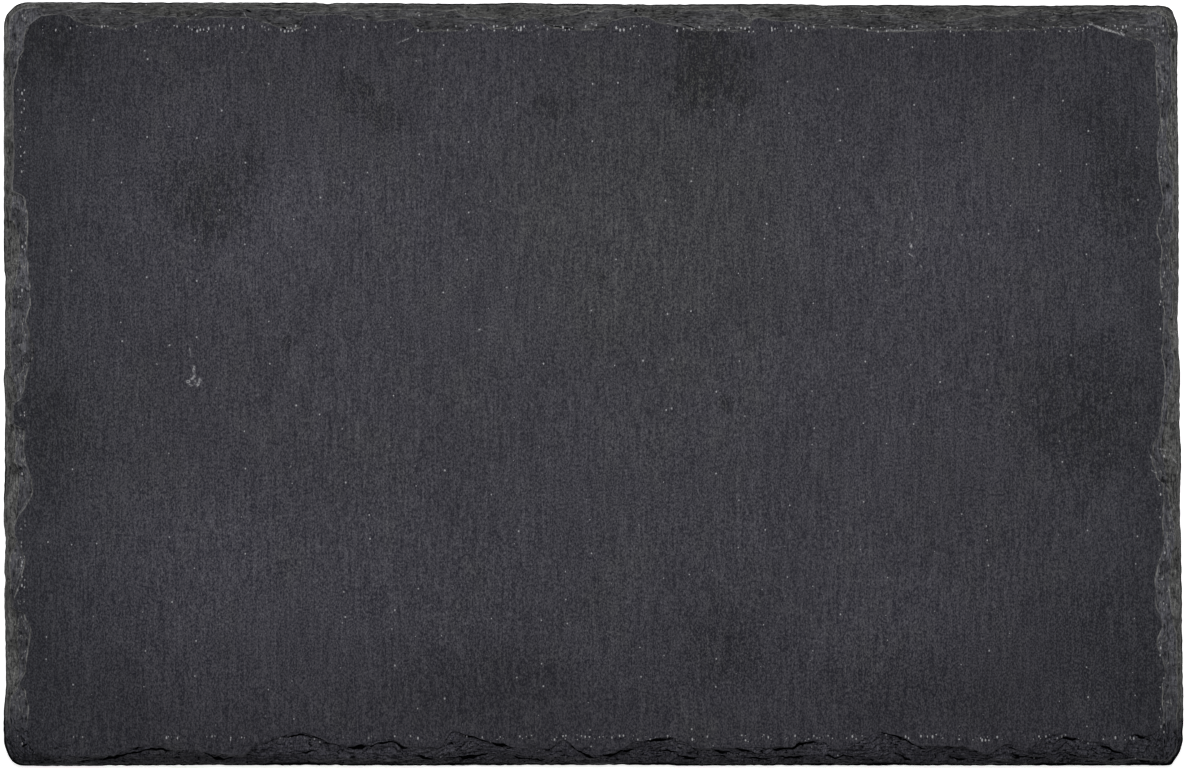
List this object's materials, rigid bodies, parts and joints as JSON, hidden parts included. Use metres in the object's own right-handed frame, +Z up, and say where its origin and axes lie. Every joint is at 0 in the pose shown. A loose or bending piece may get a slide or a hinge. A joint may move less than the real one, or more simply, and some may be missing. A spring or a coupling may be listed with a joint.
{
  "type": "slate slab",
  "caption": "Thin rectangular riven slate plate with a flaked, stepped edge all round and softened corners, lying flat on its underside.",
  "frame": {"origin": "middle of the underside's bounding rectangle, on the surface that the slab lies on", "axes": "+X along the length, +Y across the width towards the back edge, +Z up through the thickness"},
  "size_m": [0.311, 0.2014, 0.006],
  "materials": {
    "slate": "matt riven face with a fine grain, slightly smoother broken edge"
  },
  "bodies": {
    "root": {"slate_slab": "slate"}
  },
  "joints": []
}
